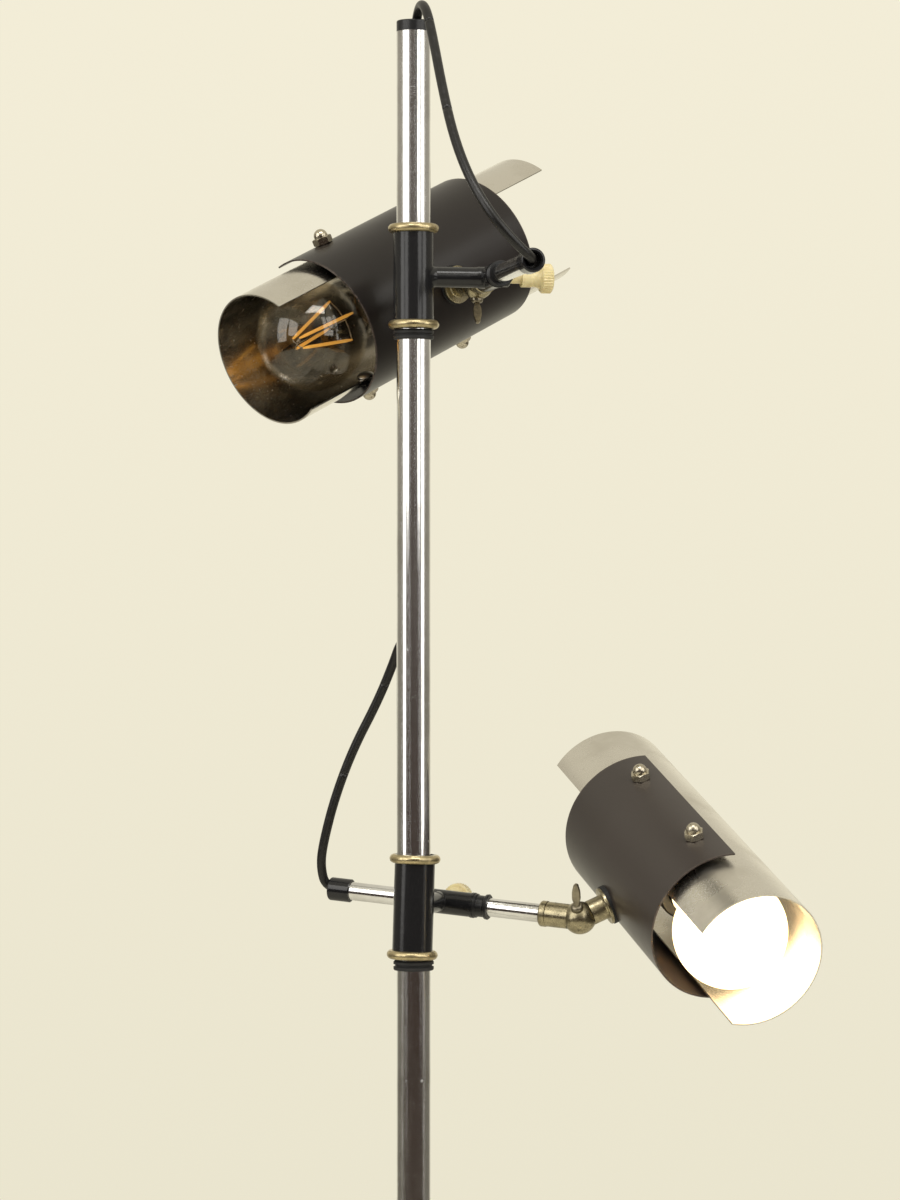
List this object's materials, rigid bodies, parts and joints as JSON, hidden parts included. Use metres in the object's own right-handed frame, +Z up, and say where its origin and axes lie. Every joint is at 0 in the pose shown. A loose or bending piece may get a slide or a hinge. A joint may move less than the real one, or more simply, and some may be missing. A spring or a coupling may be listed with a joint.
{
  "type": "tension pole lamp",
  "caption": "Floor lamp with a chrome pole and adjustable spot heads on sliding, turning arms; each head has a black outer shell over a longer open reflector.",
  "frame": {"origin": "middle of the flat underside of the base, on the pole's axis", "axes": "+Z up along the pole; +X to the right in the view from the front"},
  "size_m": [0.3556, 0.3255, 1.4146],
  "materials": {
    "base_paint": "black paint, slightly textured",
    "felt": "felt",
    "chrome": "polished",
    "nickel": "polished nickel, lightly scuffed",
    "steel": "zinc plated",
    "brass": "satin, aged",
    "black_paint": "satin black stove enamel",
    "black_plastic": "glossy black",
    "ivory_plastic": "aged ivory",
    "bakelite": "moulded black",
    "black_rubber": "matt",
    "cord_sheath": "satin black PVC",
    "cap_metal": "rolled thread",
    "bulb_glass": "clear",
    "filament_glass": "coated filament sticks on a glass stem"
  },
  "bodies": {
    "stand": {"base_plate": "base_paint", "base_pad": "felt", "pole_socket": "chrome", "foot_nut": "steel", "mains_inlet_grommet": "black_rubber", "pole": "chrome", "pole_cap": "black_plastic", "cord_grommet": "black_rubber", "upper_cord_top": "cord_sheath", "lower_cord_top": "cord_sheath"},
    "upper_stop": {"upper_stop_ring": "black_rubber", "upper_cord_middle": "cord_sheath"},
    "upper_slider": {"upper_slider_body": "black_paint", "upper_slider_rings": "brass", "upper_arm_bush": "black_plastic", "upper_cord_end": "cord_sheath"},
    "upper_thumbscrew": {"upper_thumbscrew": "ivory_plastic"},
    "upper_arm_cap": {"upper_arm_end_cap": "black_plastic"},
    "upper_arm": {"upper_arm_tube": "chrome", "upper_knuckle_fixed_half": "brass"},
    "upper_wing": {"upper_wing_screw": "brass"},
    "upper_head": {"upper_knuckle_moving_half": "brass", "upper_saddle_washer": "black_rubber", "upper_panel_nut": "steel", "upper_holder_bracket": "steel", "upper_lamp_holder": "bakelite", "upper_black_shell": "black_paint", "upper_chrome_reflector": "nickel", "upper_spacers": "steel", "upper_shell_screws": "steel", "upper_dome_nuts": "nickel", "upper_bulb_cap": "cap_metal", "upper_bulb_glass": "bulb_glass", "upper_bulb_filaments": "filament_glass", "upper_inner_lead": "cord_sheath"},
    "lower_stop": {"lower_stop_ring": "black_rubber", "lower_cord_middle": "cord_sheath"},
    "lower_slider": {"lower_slider_body": "black_paint", "lower_slider_rings": "brass", "lower_arm_bush": "black_plastic", "lower_cord_end": "cord_sheath"},
    "lower_thumbscrew": {"lower_thumbscrew": "ivory_plastic"},
    "lower_arm_cap": {"lower_arm_end_cap": "black_plastic"},
    "lower_arm": {"lower_arm_tube": "chrome", "lower_knuckle_fixed_half": "brass"},
    "lower_wing": {"lower_wing_screw": "brass"},
    "lower_head": {"lower_knuckle_moving_half": "brass", "lower_saddle_washer": "black_rubber", "lower_panel_nut": "steel", "lower_holder_bracket": "steel", "lower_lamp_holder": "bakelite", "lower_black_shell": "black_paint", "lower_chrome_reflector": "nickel", "lower_spacers": "steel", "lower_shell_screws": "steel", "lower_dome_nuts": "nickel", "lower_bulb_cap": "cap_metal", "lower_bulb_glass": "bulb_glass", "lower_bulb_filaments": "filament_glass", "lower_inner_lead": "cord_sheath"}
  },
  "joints": [
    {"name": "upper_height", "type": "slide", "parent": "stand", "child": "upper_stop", "axis": [0, 0, 1], "range_m": [-0.03, 0.03], "deforming": ["upper_cord_top"]},
    {"name": "upper_swivel", "type": "hinge", "parent": "upper_stop", "child": "upper_slider", "pos_m": [0, 0, 1.2708], "axis": [0, 0, 1], "range_deg": [-60, 60], "deforming": ["upper_cord_middle"]},
    {"name": "upper_thumbscrew_turn", "type": "hinge", "parent": "upper_slider", "child": "upper_thumbscrew", "pos_m": [0.04074, 0.00792, 1.27074], "axis": [0.9816, 0.1908, -0.0015], "range_deg": [0, 270]},
    {"name": "upper_arm_slide", "type": "slide", "parent": "upper_slider", "child": "upper_arm_cap", "axis": [-0.1908, 0.9815, -0.0139], "range_m": [-0.001, 0.045], "deforming": ["upper_cord_end"]},
    {"name": "upper_arm_roll", "type": "hinge", "parent": "upper_arm_cap", "child": "upper_arm", "pos_m": [0.04074, 0.00792, 1.27074], "axis": [-0.1908, 0.9815, -0.0139], "range_deg": [-50, 60]},
    {"name": "upper_wing_turn", "type": "hinge", "parent": "upper_arm", "child": "upper_wing", "pos_m": [0.03404, 0.04237, 1.27025], "axis": [-0.033, -0.0206, -0.9992], "range_deg": [0, 180]},
    {"name": "upper_tilt", "type": "hinge", "parent": "upper_arm", "child": "upper_head", "pos_m": [0.03404, 0.04237, 1.27025], "axis": [-0.033, -0.0206, -0.9992], "range_deg": [-3, 90]},
    {"name": "lower_height", "type": "slide", "parent": "stand", "child": "lower_stop", "axis": [0, 0, 1], "range_m": [-0.03, 0.04], "deforming": ["lower_cord_top"]},
    {"name": "lower_swivel", "type": "hinge", "parent": "lower_stop", "child": "lower_slider", "pos_m": [0, 0, 0.9376], "axis": [0, 0, 1], "range_deg": [-60, 60], "deforming": ["lower_cord_middle"]},
    {"name": "lower_thumbscrew_turn", "type": "hinge", "parent": "lower_slider", "child": "lower_thumbscrew", "pos_m": [0.01378, 0.03914, 0.93701], "axis": [0.332, 0.9432, -0.0141], "range_deg": [0, 270]},
    {"name": "lower_arm_slide", "type": "slide", "parent": "lower_slider", "child": "lower_arm_cap", "axis": [0.9397, -0.332, -0.0819], "range_m": [-0.027, 0.03], "deforming": ["lower_cord_end"]},
    {"name": "lower_arm_roll", "type": "hinge", "parent": "lower_arm_cap", "child": "lower_arm", "pos_m": [0.01378, 0.03914, 0.93701], "axis": [0.9397, -0.332, -0.0819], "range_deg": [-70, 50]},
    {"name": "lower_wing_turn", "type": "hinge", "parent": "lower_arm", "child": "lower_wing", "pos_m": [0.08839, 0.01278, 0.93051], "axis": [-0.1839, -0.6926, 0.6975], "range_deg": [0, 180]},
    {"name": "lower_tilt", "type": "hinge", "parent": "lower_arm", "child": "lower_head", "pos_m": [0.08839, 0.01278, 0.93051], "axis": [-0.1839, -0.6926, 0.6975], "range_deg": [-72, 22]}
  ]
}
